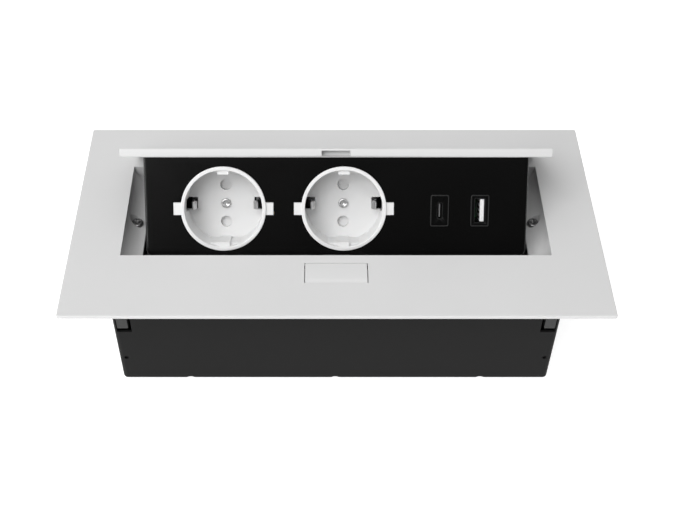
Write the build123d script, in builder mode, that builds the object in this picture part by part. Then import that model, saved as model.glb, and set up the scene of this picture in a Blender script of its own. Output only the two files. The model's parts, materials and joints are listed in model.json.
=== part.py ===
"""Flip-up desk power box: a bezel plate let into a desk, a tray under it, and a socket module that
swings up through the opening on two pins. Millimetres, Z up, front towards -Y, origin under the
middle of the tray. The module is drawn shut and stored open."""

import os
from math import asin, atan2, cos, degrees, hypot, radians, sin

from build123d import *

os.makedirs("parts", exist_ok=True)

# ---------------------------------------------------------------- bezel plate and opening
overall_height = 62.8  # tray underside to plate top
plate_width = 265.0
plate_depth = 133.2
plate_thickness = 2.0
plate_corner = 1.0
plate_edge_break = 0.3
opening_width = 213.3
opening_front = -27.5
opening_rear = 36.6
skirt_thickness = 2.0
front_skirt_drop = 9.0
rear_skirt_drop = 12.0

# scooped cheeks at both ends of the opening
cove_radius = 12.5
cheek_inner = 98.0
cheek_outer = 107.4
cheek_drop = 13.8
cheek_screw_x = 102.7
cheek_screw_y = 4.5
cheek_screw_seat = 11.0

# ---------------------------------------------------------------- tray
tray_width = 218.8
tray_depth = 113.2
tray_wall = 1.5
tray_corner = 2.5
tray_edge = 1.4
notch_inner = 100.5
notch_drop = 24.3
cable_hole_radius = 10.0
cable_hole_x = 61.0
cable_hole_z = 24.0
fixing_hole_x = 105.8
fixing_hole_drop = 45.0
fixing_hole_radius = 1.1
scallop_pitch = 74.6
scallop_width = 5.0
scallop_height = 2.0
scallop_depth = 2.4

# ---------------------------------------------------------------- flip motion
flip_angle = 42.0
pivot_y = 41.8
pivot_drop = 24.4
pin_radius = 2.5
running_clearance = 0.05
bush_wall = 1.2

# ---------------------------------------------------------------- end brackets
web_inner = 103.4
web_outer = 107.4
shelf_thickness = 3.4
rail_drop = 21.5
web_drop = 40.0
web_front = 27.0
web_rear = 54.0
foot_inner = 102.0
foot_depth = 3.5

# ---------------------------------------------------------------- lid
lid_thickness = 4.5
lid_side_gap = 0.5
lid_front_gap = 0.5
lid_top_length = 58.9
lid_rear_undercut = 5.7
lid_corner_radius = 1.3
latch_slot_width = 14.0
latch_slot_high = 1.35
latch_slot_low = 3.7
latch_slot_depth = 3.8

# ---------------------------------------------------------------- socket module
panel_width = 189.5
panel_height = 50.0
panel_thickness = 2.5
panel_lean = 7.0
panel_setback = 1.2
panel_edge_radius = 1.6
panel_corner_radius = 4.0
face_middle = 25.6
shell_width = 189.0
shell_wall = 2.0
shell_back = 20.0
shell_drop = 50.0
arm_inner = 90.0
arm_root_top = 23.5
arm_root_bottom = 38.0
hub_radius = 6.5

# socket cups
cup_places = (-55.7, 3.9)
rim_radius = 21.1
rim_proud = 0.8
mouth_radius = 19.25
cup_depth = 17.5
cup_floor = 2.5
cup_body_radius = 20.4
cup_clearance = 0.25
lug_reach = 24.7
lug_height = 6.2
lug_thickness = 2.2
rib_width = 5.5
rib_inner = 17.0
pin_pitch = 19.0
pin_hole_radius = 2.9
earth_window_width = 6.2
earth_window_inner = 14.4
earth_window_top = 8.0
cup_screw_head_radius = 2.45

# shutters and contacts behind the cups
shutter_thickness = 1.2
shutter_radius = 12.6
shutter_half_angle = 20.0
shutter_pivot_radius = 2.2
base_width = 37.0
base_height = 27.0
base_depth = 12.0
sleeve_radius = 3.3
sleeve_bore = 2.45
sleeve_length = 10.5
bar_thickness = 0.8

# charging ports
port_places = {"usb_c": 51.3, "usb_a": 71.2}
port_y = -0.9
port_insert_width = 9.3
port_insert_height = 16.0
port_insert_proud = 0.4
usb_c_width, usb_c_height = 2.9, 8.6
usb_a_width, usb_a_height = 5.6, 12.6
usb_c_corner, usb_a_corner = 1.4, 0.6
port_shell_wall = 0.35
port_shell_depth = 12.0

# ---------------------------------------------------------------- push button and latch
button_width = 30.4
button_front = -45.2
button_rear = -33.1
button_gap = 0.35
button_proud = 0.3
button_cap = 4.0
button_bevel_depth = 2.8
button_bevel_drop = 1.1
button_travel = 2.5
latch_ratio = 1.2
tongue_width = 13.0
tongue_top = 2.2
tongue_bottom = 3.5
tongue_reach = 3.3
bolt_width = 13.0
bolt_top = 8.3
bolt_bottom = 11.5
bolt_front = -46.8
stem_width = 8.0
stem_rear = -36.0
stem_foot = 13.0
stem_foot_depth = 1.6
housing_half = 21.0
housing_front = -54.0
housing_rear = -30.0
housing_drop = 18.0
housing_wall = 1.5
housing_ear_x = 25.0
housing_ear_y = -42.0
boss_radius = 3.0
boss_drop = 9.0

fit_gap = 0.3

# screws: shank radius and head radius
case_screw_radius = 1.5
cheek_screw_head_radius = 3.0
tray_screw_head_radius = 2.8
lid_screw_radius, lid_screw_head_radius = 1.25, 2.3
housing_screw_radius, housing_screw_head_radius = 1.1, 2.2
panel_screw_radius, panel_screw_head_radius = 1.0, 1.7
terminal_screw_radius, terminal_screw_head_radius = 1.2, 1.9
screw_slack = 0.2

# ---------------------------------------------------------------- places worked out from the sizes
top = overall_height
underside = top - plate_thickness
opening_depth = opening_rear - opening_front
opening_middle = (opening_rear + opening_front) / 2
pivot_z = top - pivot_drop
cove_centre = opening_width / 2 - cove_radius
button_middle = (button_front + button_rear) / 2
button_depth = button_rear - button_front
lid_front = opening_front + lid_front_gap
lid_under = top - lid_thickness
panel_y = lid_front + panel_setback
lean = radians(panel_lean)
open_turn = Location((0, pivot_y, pivot_z)) * Location((0, 0, 0), (-flip_angle, 0, 0))
open_turn = open_turn * Location((0, -pivot_y, -pivot_z))

# how a box or a cylinder lies on its place: standing up from it or hanging down
stand = (Align.CENTER, Align.CENTER, Align.MIN)
hang = (Align.CENTER, Align.CENTER, Align.MAX)

frame_pieces = {}
module_pieces = {}


def face_point(along, depth):
    """A side-view point (y, z): along the panel's face down from the lid, and depth in behind it."""
    y = panel_y + along * sin(lean) + depth * cos(lean)
    z = lid_under - along * cos(lean) + depth * sin(lean)
    return y, z


face_y, face_z = face_point(face_middle, 0)
face_plane = Plane(
    origin=(0, face_y, face_z), x_dir=(1, 0, 0), z_dir=(0, -cos(lean), -sin(lean))
)


def floor_plane(depth):
    """The plane that lies this deep behind the panel's face, facing out."""
    return face_plane.offset(-depth)


def face_spot(x, y, depth, inward=False):
    """A seat for a screw at a place on the panel, facing out of it or into the module."""
    direction = -face_plane.z_dir if inward else face_plane.z_dir
    seat = floor_plane(depth).from_local_coords((x, y, 0))
    return Plane(origin=seat, x_dir=(1, 0, 0), z_dir=direction)


def pan_screw(seat, head_radius, head_height, shank_radius, length):
    """A cross-head screw: its head stands on the seat plane, and its shank goes down from it."""
    slot = 0.32 * head_radius
    along = Axis(seat.origin, seat.z_dir)
    with BuildPart() as screw:
        with BuildSketch(seat):
            Circle(head_radius)
        extrude(amount=head_height)
        fillet(screw.edges().sort_by(along)[-1:], head_height * 0.45)
        with BuildSketch(seat.offset(head_height)):
            Rectangle(1.3 * head_radius, slot)
            Rectangle(slot, 1.3 * head_radius)
        extrude(amount=-head_height * 0.55, mode=Mode.SUBTRACT)
        with BuildSketch(seat):
            Circle(shank_radius)
        extrude(amount=-length)
        chamfer(screw.edges().sort_by(along)[:1], shank_radius * 0.35)
    return screw.part


def screw_group(seats, head_radius, head_height, shank_radius, length):
    """Identical screws as separate solids in one group."""
    screws = [pan_screw(seat, head_radius, head_height, shank_radius, length) for seat in seats]
    return Compound(children=screws)


def coil(centre, direction, radius, wire, pitch, turns):
    """A round-wire coil spring standing on centre and rising along direction."""
    with BuildPart() as spring:
        with BuildLine() as path:
            Helix(pitch=pitch, height=pitch * turns, radius=radius, center=centre, direction=direction)
        with BuildSketch(Plane(origin=path.line @ 0, z_dir=path.line % 0)):
            Circle(wire / 2)
        sweep()
    return spring.part


def both_ends(make):
    """The left and the right copy of a piece, as one group."""
    return Compound(children=[make(-1), make(1)])


# ================================================================ bezel frame
with BuildPart() as bezel_frame:
    with BuildSketch(Plane.XY.offset(underside)):
        RectangleRounded(plate_width, plate_depth, plate_corner)
        with Locations((0, opening_middle)):
            Rectangle(opening_width, opening_depth, mode=Mode.SUBTRACT)
        with Locations((0, button_middle)):
            window_width = button_width + 2 * button_gap
            Rectangle(window_width, button_depth + 2 * button_gap, mode=Mode.SUBTRACT)
    extrude(amount=plate_thickness)
    rim = bezel_frame.faces().sort_by(Axis.Z)[-1].outer_wire().edges()
    chamfer(rim, plate_edge_break)
    with BuildSketch(Plane.YZ.offset(-cheek_outer)):
        with Locations((opening_rear + skirt_thickness / 2, top - rear_skirt_drop / 2)):
            Rectangle(skirt_thickness, rear_skirt_drop)
        with Locations((opening_front - skirt_thickness / 2, top - front_skirt_drop / 2)):
            Rectangle(skirt_thickness, front_skirt_drop)
    extrude(amount=2 * cheek_outer)
    with BuildSketch(Plane.XZ.offset(-opening_front)):
        for side in (-1, 1):
            with Locations((side * (cheek_inner + cheek_outer) / 2, top - cheek_drop / 2)):
                Rectangle(cheek_outer - cheek_inner, cheek_drop)
            with Locations((side * cove_centre, top)):
                Circle(cove_radius, mode=Mode.SUBTRACT)
    extrude(amount=-opening_depth)
    cheek_screw_spots = [(side * cheek_screw_x, cheek_screw_y, top) for side in (-1, 1)]
    with Locations(*cheek_screw_spots):
        CounterBoreHole(
            case_screw_radius + screw_slack, cheek_screw_head_radius + 0.3, cheek_screw_seat, cheek_drop + 1
        )
    with Locations((0, opening_front - skirt_thickness / 2, underside)):
        Box(tongue_width + 4, skirt_thickness + 1, front_skirt_drop, align=hang, mode=Mode.SUBTRACT)
    with BuildSketch(Plane.XY.offset(top - boss_drop)):
        with Locations(*[(side * housing_ear_x, housing_ear_y) for side in (-1, 1)]):
            Circle(boss_radius)
    extrude(amount=boss_drop - plate_thickness)
    with Locations(*[(side * housing_ear_x, housing_ear_y, top - boss_drop) for side in (-1, 1)]):
        Cylinder(housing_screw_radius + running_clearance, 2 * 6.0, mode=Mode.SUBTRACT)
frame_pieces["bezel_frame"] = bezel_frame.part

# ================================================================ tray
with BuildPart() as recess_tray:
    Box(tray_width, tray_depth, underside, align=stand)
    fillet(recess_tray.edges().filter_by(Axis.Z), tray_corner)
    chamfer(recess_tray.faces().sort_by(Axis.Z)[0].edges(), tray_edge)
    with Locations((0, 0, tray_wall)):
        inside_width, inside_depth = tray_width - 2 * tray_wall, tray_depth - 2 * tray_wall
        Box(inside_width, inside_depth, overall_height, align=stand, mode=Mode.SUBTRACT)
    with BuildSketch(Plane.XZ.offset(tray_depth / 2)):
        notch_outer = tray_width / 2 - tray_wall
        for side in (-1, 1):
            with Locations((side * (notch_inner + notch_outer) / 2, top - notch_drop / 2)):
                Rectangle(notch_outer - notch_inner, notch_drop)
            with Locations((side * fixing_hole_x, top - fixing_hole_drop)):
                Circle(fixing_hole_radius)
    extrude(amount=-2 * tray_wall, mode=Mode.SUBTRACT)
    with BuildSketch(Plane.XZ.offset(tray_depth / 2)):
        with GridLocations(scallop_pitch, 1, 3, 1):
            Ellipse(scallop_width / 2, scallop_height)
    extrude(amount=-scallop_depth, mode=Mode.SUBTRACT)
    with Locations(Location((cable_hole_x, tray_depth / 2, cable_hole_z), (90, 0, 0))):
        Cylinder(cable_hole_radius, 4 * tray_wall, mode=Mode.SUBTRACT)
    tray_screw_spots = [(y, top - 18) for y in (-40, 46)]
    with BuildSketch(Plane.YZ.offset(-tray_width / 2)):
        with Locations(*tray_screw_spots):
            Circle(case_screw_radius + screw_slack)
    extrude(amount=tray_width, mode=Mode.SUBTRACT)
frame_pieces["recess_tray"] = recess_tray.part

# rubber ring in the cable hole
with BuildPart() as cable_grommet:
    with BuildSketch(Plane.XY) as ring:
        with BuildLine():
            Polyline(
                (6, -3.2), (11.5, -3.2), (12.5, -2.4), (12.5, -tray_wall / 2 - 0.05),
                (cable_hole_radius - 0.05, -tray_wall / 2 - 0.05),
                (cable_hole_radius - 0.05, tray_wall / 2 + 0.05),
                (12.5, tray_wall / 2 + 0.05), (12.5, 2.0), (6, 2.0), close=True,
            )
        make_face()
    revolve(axis=Axis.Y)
cable_grommet.part.move(Location((cable_hole_x, tray_depth / 2 - tray_wall / 2, cable_hole_z)))
frame_pieces["cable_grommet"] = cable_grommet.part

# ================================================================ end brackets and hinge hardware
def end_bracket(side):
    """A rail along the tray's side with a screw shelf, a hinge web and a foot at the front."""
    web_plane = Plane.YZ.offset(side * web_inner)
    with BuildPart() as bracket:
        with BuildSketch(web_plane):
            with BuildLine():
                Polyline(
                    (-tray_depth / 2 + foot_depth, top - cheek_drop),
                    (web_rear, top - cheek_drop), (web_rear, top - web_drop),
                    (web_front, top - web_drop), (web_front - 6, top - rail_drop),
                    (-tray_depth / 2 + foot_depth, top - rail_drop), close=True,
                )
            make_face()
            with Locations((pivot_y, pivot_z)):
                Circle(pin_radius + running_clearance, mode=Mode.SUBTRACT)
        extrude(amount=side * (web_outer - web_inner))
        with BuildSketch(Plane.XY.offset(top - cheek_drop)):
            with Locations((side * (cheek_inner + web_outer) / 2, cheek_screw_y)):
                Rectangle(web_outer - cheek_inner, 30)
            with Locations((side * cheek_screw_x, cheek_screw_y)):
                Circle(case_screw_radius + running_clearance, mode=Mode.SUBTRACT)
        extrude(amount=-shelf_thickness)
        with Locations((side * cheek_screw_x, cheek_screw_y, top - cheek_drop)):
            Cylinder(case_screw_radius + running_clearance, 4 * shelf_thickness, mode=Mode.SUBTRACT)
        with BuildSketch(Plane.XZ.offset(tray_depth / 2)):
            with Locations((side * (foot_inner + web_outer) / 2, (underside + top - rail_drop) / 2)):
                Rectangle(web_outer - foot_inner, rail_drop - plate_thickness)
        extrude(amount=-foot_depth)
        with BuildSketch(web_plane):
            with Locations(*tray_screw_spots):
                Circle(case_screw_radius + running_clearance)
        extrude(amount=side * (web_outer - web_inner), mode=Mode.SUBTRACT)
    return bracket.part


def hinge_pin(side):
    with BuildPart() as pin:
        with BuildSketch(Plane.YZ.offset(side * (arm_inner - 1.6))):
            with Locations((pivot_y, pivot_z)):
                Circle(pin_radius)
        extrude(amount=side * (web_outer - arm_inner + 1.6))
        groove = Plane.YZ.offset(side * (arm_inner - 1.2))
        with BuildSketch(groove):
            with Locations((pivot_y, pivot_z)):
                Circle(pin_radius)
                Circle(pin_radius - 0.5, mode=Mode.SUBTRACT)
        extrude(amount=side * 0.9, mode=Mode.SUBTRACT)
    return pin.part


def pin_clip(side):
    with BuildPart() as clip:
        with BuildSketch(Plane.YZ.offset(side * (arm_inner - 1.15))):
            with Locations((pivot_y, pivot_z)):
                Circle(pin_radius + 1.8)
                Circle(pin_radius - 0.45, mode=Mode.SUBTRACT)
            with Locations((pivot_y - pin_radius - 1, pivot_z)):
                Rectangle(3, 2 * pin_radius - 1.6, mode=Mode.SUBTRACT)
        extrude(amount=side * 0.8)
    return clip.part


spring_wire = 1.1
spring_radius = pin_radius + 0.5 + spring_wire / 2
spring_turns = 4
leg_length = 13.0
bush_flange = 0.5
coil_start = shell_width / 2 + bush_flange + 0.2 + spring_wire / 2
coil_length = web_inner - coil_start - spring_wire / 2 - 1.4


def torsion_spring(side):
    """The coil round the pin, with the leg that rests on the web's front edge."""
    with BuildPart() as spring:
        with BuildLine() as path:
            Helix(
                pitch=coil_length / spring_turns, height=coil_length, radius=spring_radius,
                center=(side * coil_start, pivot_y, pivot_z), direction=(side, 0, 0),
            )
        with BuildSketch(Plane(origin=path.line @ 0, z_dir=path.line % 0)):
            Circle(spring_wire / 2)
        sweep()
        end = path.line @ 1
        tangent = path.line % 1
        with BuildSketch(Plane(origin=end, z_dir=tangent)):
            Circle(spring_wire / 2)
        extrude(amount=leg_length)
    return spring.part


frame_pieces["end_bracket_left"] = end_bracket(-1)
frame_pieces["end_bracket_right"] = end_bracket(1)
frame_pieces["hinge_pins"] = both_ends(hinge_pin)
frame_pieces["pin_clips"] = both_ends(pin_clip)
frame_pieces["torsion_spring_left"] = torsion_spring(-1)
frame_pieces["torsion_spring_right"] = torsion_spring(1)

cheek_seats = [
    Plane(origin=(side * cheek_screw_x, cheek_screw_y, top - cheek_screw_seat)) for side in (-1, 1)
]
frame_pieces["cheek_screws"] = screw_group(
    cheek_seats, cheek_screw_head_radius, 1.9, case_screw_radius, 6.0
)
tray_seats = [
    Plane(origin=(side * tray_width / 2, y, z), z_dir=(side, 0, 0))
    for side in (-1, 1) for y, z in tray_screw_spots
]
frame_pieces["tray_screws"] = screw_group(
    tray_seats, tray_screw_head_radius, 1.6, case_screw_radius, 5.4
)

# ================================================================ lid
lid_width = opening_width - 2 * lid_side_gap
with BuildPart() as lid:
    with BuildSketch(Plane.YZ.offset(-lid_width / 2)):
        with BuildLine():
            Polyline(
                (lid_front, top), (lid_front + lid_top_length, top),
                (lid_front + lid_top_length - lid_rear_undercut, lid_under),
                (lid_front, lid_under), close=True,
            )
        make_face()
    extrude(amount=lid_width)
    ends = lid.faces().filter_by(Axis.X).edges().filter_by(Axis.Y).group_by(Axis.Z)[0]
    fillet(ends, lid_corner_radius)
    front_edges = lid.faces().sort_by(Axis.Y)[0].edges().filter_by(Axis.X)
    chamfer(front_edges, 0.3)
    with Locations((0, lid_front, top - (latch_slot_high + latch_slot_low) / 2)):
        slot_height = latch_slot_low - latch_slot_high
        Box(latch_slot_width, 2 * latch_slot_depth, slot_height, mode=Mode.SUBTRACT)
    lid_screw_spots = [(x, y) for x in (-80, 24) for y in (-8, 12)]
    with Locations(*[(x, y, lid_under) for x, y in lid_screw_spots]):
        Cylinder(lid_screw_radius + running_clearance, 2 * 3.4, mode=Mode.SUBTRACT)
module_pieces["lid"] = lid.part

# ================================================================ face panel
shell_screw_spots = [(x, y) for x in (-90.2, -26, 33, 90.2) for y in (-20, 20.2)]
boss_length = 12.0
with BuildPart() as face_panel:
    with BuildSketch(Plane.YZ.offset(-panel_width / 2)):
        with BuildLine():
            Polyline(
                (panel_y, lid_under), (panel_y + panel_thickness / cos(lean), lid_under),
                face_point(panel_height, panel_thickness), face_point(panel_height, 0), close=True,
            )
        make_face()
    extrude(amount=panel_width)
    facing = Axis((0, face_y, face_z), face_plane.z_dir)
    upright = Axis((0, face_y, face_z), face_plane.y_dir)
    side_edges = face_panel.edges().filter_by(upright).group_by(facing)[-1]
    bottom_corners = face_panel.edges().filter_by(facing).group_by(upright)[0]
    fillet(bottom_corners, panel_corner_radius)
    front_rim = face_panel.faces().sort_by(facing)[-1].edges()
    fillet(front_rim.filter_by(upright), panel_edge_radius)
    with BuildSketch(face_plane):
        for x in cup_places:
            with Locations((x, 0)):
                Circle(cup_body_radius + cup_clearance)
                Rectangle(2 * (lug_reach + 0.5), lug_height + 0.5)
        with Locations(*[(x, port_y) for x in port_places.values()]):
            Rectangle(port_insert_width - 1.4, port_insert_height - 1.4)
    extrude(amount=-2 * panel_thickness, mode=Mode.SUBTRACT)
    with BuildSketch(floor_plane(panel_thickness)):
        with Locations(*shell_screw_spots):
            Circle(panel_screw_radius + running_clearance)
    extrude(amount=1.8, mode=Mode.SUBTRACT)
module_pieces["face_panel"] = face_panel.part

# ================================================================ rear shell with the hinge arms
arm_slope = atan2(pivot_z - (top - arm_root_top), pivot_y - shell_back + shell_wall)
arm_slope += asin(hub_radius / hypot(pivot_y - shell_back + shell_wall, pivot_z - top + arm_root_top))
gland_drop = 34.0
with BuildPart() as rear_shell:
    with BuildSketch(Plane.YZ.offset(-shell_width / 2)):
        with BuildLine():
            Polyline(
                (panel_y + panel_thickness / cos(lean), lid_under), (shell_back, lid_under),
                (shell_back, top - shell_drop + 4), (shell_back - 4, top - shell_drop),
                face_point(panel_height, panel_thickness), close=True,
            )
        make_face()
    extrude(amount=shell_width)
    with BuildSketch(Plane.YZ.offset(-shell_width / 2 + shell_wall)):
        with BuildLine():
            Polyline(
                face_point(shell_wall / cos(lean), panel_thickness - 1),
                (shell_back - shell_wall, lid_under - shell_wall),
                (shell_back - shell_wall, top - shell_drop + 4.8),
                (shell_back - 4.8, top - shell_drop + shell_wall),
                face_point(panel_height - shell_wall, panel_thickness - 1), close=True,
            )
        make_face()
    extrude(amount=shell_width - 2 * shell_wall, mode=Mode.SUBTRACT)
    for side in (-1, 1):
        with BuildSketch(Plane.YZ.offset(side * arm_inner)):
            with Locations((pivot_y, pivot_z)):
                Circle(hub_radius)
            with Locations((shell_back - shell_wall / 2, top - (arm_root_top + arm_root_bottom) / 2)):
                Rectangle(shell_wall, arm_root_bottom - arm_root_top)
            make_hull()
            with Locations((pivot_y, pivot_z)):
                Circle(pin_radius + bush_wall + running_clearance, mode=Mode.SUBTRACT)
        extrude(amount=side * (shell_width / 2 - arm_inner))
    with BuildSketch(floor_plane(panel_thickness)):
        with Locations(*shell_screw_spots):
            Circle(2.6)
    extrude(amount=-boss_length)
    with BuildSketch(floor_plane(panel_thickness)):
        with Locations(*shell_screw_spots):
            Circle(panel_screw_radius + running_clearance)
    extrude(amount=-boss_length, mode=Mode.SUBTRACT)
    with Locations(*[(x, y, lid_under) for x, y in lid_screw_spots]):
        Cylinder(lid_screw_radius + screw_slack, 4 * shell_wall, mode=Mode.SUBTRACT)
    with Locations(Location((cable_hole_x, shell_back, top - gland_drop), (90, 0, 0))):
        Cylinder(6.1, 4 * shell_wall, mode=Mode.SUBTRACT)
module_pieces["rear_shell"] = rear_shell.part


def pivot_bush(side):
    with BuildPart() as bush:
        for radius, start, length in (
            (pin_radius + bush_wall, arm_inner, shell_width / 2 - arm_inner),
            (hub_radius - 1.2, shell_width / 2, bush_flange),
        ):
            with BuildSketch(Plane.YZ.offset(side * start)):
                with Locations((pivot_y, pivot_z)):
                    Circle(radius)
                    Circle(pin_radius + running_clearance, mode=Mode.SUBTRACT)
            extrude(amount=side * length)
    return bush.part


def stop_bumper(side):
    """A rubber pad on the arm that meets the bezel's rear skirt when the module is up."""
    pad = 1.25
    reach = 13.0
    x = side * (arm_inner + shell_width / 2) / 2
    y = shell_back - shell_wall + reach * cos(arm_slope) - pad / 2 * sin(arm_slope)
    z = top - arm_root_top + reach * sin(arm_slope) + pad / 2 * cos(arm_slope)
    with BuildPart() as bumper:
        with Locations(Location((x, y, z), (degrees(arm_slope), 0, 0))):
            Box(shell_width / 2 - arm_inner, 5, pad)
    return bumper.part


module_pieces["pivot_bushes"] = both_ends(pivot_bush)
module_pieces["stop_bumpers"] = both_ends(stop_bumper)
lid_seats = [
    Plane(origin=(x, y, lid_under - shell_wall), z_dir=(0, 0, -1)) for x, y in lid_screw_spots
]
module_pieces["lid_screws"] = screw_group(
    lid_seats, lid_screw_head_radius, 1.5, lid_screw_radius, 5.2
)

# ================================================================ socket cups
def socket_cup(x):
    """A round white socket cup: rim, lugs, guide ribs with their shoulders, pin holes, earth windows."""
    with BuildPart() as cup:
        with BuildSketch(face_plane.offset(rim_proud)):
            with Locations((x, 0)):
                Circle(rim_radius)
        extrude(amount=-rim_proud)
        with BuildSketch(face_plane):
            with Locations((x, 0)):
                Circle(cup_body_radius)
                Rectangle(2 * lug_reach, lug_height)
        extrude(amount=-lug_thickness)
        with BuildSketch(face_plane):
            with Locations((x, 0)):
                Circle(cup_body_radius)
        extrude(amount=-(cup_depth + cup_floor))
        with BuildSketch(face_plane.offset(rim_proud)):
            with Locations((x, 0)):
                Circle(mouth_radius)
        extrude(amount=-(rim_proud + cup_depth), mode=Mode.SUBTRACT)
        with BuildSketch(floor_plane(3.0)):
            with Locations((x, 0)):
                Circle(mouth_radius + 0.2)
                Rectangle(2 * rim_radius, 2 * (rib_inner + 0.7), mode=Mode.SUBTRACT)
        extrude(amount=-(cup_depth - 3.0))
        with BuildSketch(floor_plane(0.6)):
            with Locations((x, rib_inner + 1.4), (x, -rib_inner - 1.4)):
                Rectangle(rib_width, 2.8)
        extrude(amount=-(cup_depth - 0.6))
        with BuildSketch(floor_plane(cup_depth)):
            with Locations((x, pin_pitch / 2), (x, -pin_pitch / 2)):
                Circle(pin_hole_radius)
            with Locations((x, 0)):
                Circle(case_screw_radius + screw_slack)
        extrude(amount=-2 * cup_floor, mode=Mode.SUBTRACT)
        with BuildSketch(floor_plane(earth_window_top)):
            for side in (-1, 1):
                with Locations((x + side * (earth_window_inner + rim_radius) / 2, 0)):
                    Rectangle(rim_radius - earth_window_inner, earth_window_width)
        extrude(amount=-(cup_depth + cup_floor), mode=Mode.SUBTRACT)
        mouth = cup.edges().filter_by(GeomType.CIRCLE).group_by(facing)[-1]
        fillet(mouth, 0.35)
    return cup.part


def shutter(x):
    """The turning shutter under the cup floor: two wings on a hub."""
    with BuildPart() as wings:
        with BuildSketch(floor_plane(cup_depth + cup_floor + 0.3)):
            with Locations((x, 0)):
                Circle(shutter_radius)
            cut = 3 * shutter_radius
            for side in (-1, 1):
                with BuildLine():
                    spread = radians(shutter_half_angle)
                    Polyline(
                        (x, 0), (x + side * cut * cos(spread - radians(90)), cut * cos(spread)),
                        (x + side * cut, 0), (x + side * cut * sin(spread), -cut * cos(spread)),
                        close=True,
                    )
                make_face(mode=Mode.SUBTRACT)
            with Locations((x, 0)):
                Circle(shutter_pivot_radius + 2.2)
                Circle(shutter_pivot_radius + running_clearance, mode=Mode.SUBTRACT)
        extrude(amount=-shutter_thickness)
    return wings.part


base_top = cup_depth + cup_floor + shutter_thickness + 0.6


def socket_base(x):
    """The contact carrier behind a cup, with a bored tower for the cup screw and wells for the sleeves."""
    with BuildPart() as base:
        with BuildSketch(floor_plane(base_top)):
            with Locations((x, 0)):
                RectangleRounded(base_width - 8.0, base_height, 2)
        extrude(amount=-base_depth)
        with BuildSketch(floor_plane(base_top)):
            with Locations((x, 0)):
                Circle(shutter_pivot_radius)
        extrude(amount=base_top - cup_depth - cup_floor)
        with BuildSketch(floor_plane(base_top)):
            with Locations((x, pin_pitch / 2), (x, -pin_pitch / 2)):
                Circle(sleeve_radius + running_clearance)
        extrude(amount=-sleeve_length, mode=Mode.SUBTRACT)
        with BuildSketch(floor_plane(cup_depth + cup_floor)):
            with Locations((x, 0)):
                Circle(case_screw_radius + running_clearance)
        extrude(amount=-10, mode=Mode.SUBTRACT)
    return base.part


def contact_sleeves(x):
    with BuildPart() as sleeves:
        with BuildSketch(floor_plane(base_top + 0.3)):
            for side in (-1, 1):
                with Locations((x, side * pin_pitch / 2)):
                    Circle(sleeve_radius)
                    Circle(sleeve_bore, mode=Mode.SUBTRACT)
                with Locations((x, side * (pin_pitch / 2 + sleeve_bore))):
                    Rectangle(0.8, 3, mode=Mode.SUBTRACT)
        extrude(amount=-(sleeve_length - 0.3))
    return sleeves.part


def earth_clip(x):
    """One bent strip: a spring finger in each window of the cup, joined behind the contact carrier."""
    half = base_width / 2 - 1.2
    back = base_top + base_depth + bar_thickness / 2 + 0.2
    with BuildPart() as clip:
        with BuildSketch(Plane(origin=face_plane.origin, x_dir=(1, 0, 0), z_dir=face_plane.y_dir)):
            for side in (-1, 1):
                with BuildLine() as finger:
                    Polyline(
                        (x, back), (x + side * half, back), (x + side * half, cup_depth + 1.5),
                        (x + side * (half - 1.4), cup_depth - 4), (x + side * (half - 2.6), 11.5),
                        (x + side * (half - 0.9), 9.0),
                    )
                trace(finger.line, line_width=bar_thickness)
        extrude(amount=2.0, both=True)
    return clip.part


for number, x in enumerate(cup_places, start=1):
    module_pieces[f"socket_cup_{number}"] = socket_cup(x)
    module_pieces[f"shutter_{number}"] = shutter(x)
    module_pieces[f"socket_base_{number}"] = socket_base(x)
    module_pieces[f"contact_sleeves_{number}"] = contact_sleeves(x)
    module_pieces[f"earth_clip_{number}"] = earth_clip(x)
    cup_seat = face_spot(x, 0, cup_depth)
    module_pieces[f"cup_screw_{number}"] = pan_screw(
        cup_seat, cup_screw_head_radius, 1.4, case_screw_radius, 12
    )

# ================================================================ charging ports
def port_insert(x, opening_w, opening_h, corner):
    """A black frame in the panel round one charging port."""
    with BuildPart() as insert:
        with BuildSketch(face_plane.offset(port_insert_proud)):
            with Locations((x, port_y)):
                RectangleRounded(port_insert_width, port_insert_height, 1.0)
        extrude(amount=-port_insert_proud)
        with BuildSketch(face_plane):
            with Locations((x, port_y)):
                neck = 1.4 + 2 * cup_clearance
                Rectangle(port_insert_width - neck, port_insert_height - neck)
        extrude(amount=-(panel_thickness + 0.8))
        with BuildSketch(face_plane.offset(port_insert_proud)):
            with Locations((x, port_y)):
                RectangleRounded(opening_w + 0.1, opening_h + 0.1, corner)
        extrude(amount=-10, mode=Mode.SUBTRACT)
        chamfer(insert.faces().sort_by(facing)[-1].outer_wire().edges(), 0.25)
    return insert.part


def port_shell(x, opening_w, opening_h, corner):
    """The metal tube of a port."""
    with BuildPart() as tube:
        with BuildSketch(face_plane.offset(port_insert_proud - 0.4)):
            with Locations((x, port_y)):
                RectangleRounded(opening_w, opening_h, corner)
                inner_w, inner_h = opening_w - 2 * port_shell_wall, opening_h - 2 * port_shell_wall
                RectangleRounded(inner_w, inner_h, corner - port_shell_wall, mode=Mode.SUBTRACT)
        extrude(amount=-port_shell_depth)
    return tube.part


def port_tongue(x, shift, width, height, start):
    """The contact tongue inside a port, with its foot against the board."""
    with BuildPart() as tongue:
        with BuildSketch(floor_plane(start)):
            with Locations((x + shift, port_y)):
                Rectangle(width, height)
        extrude(amount=-(port_shell_depth - start + 1.5))
    return tongue.part


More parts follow.
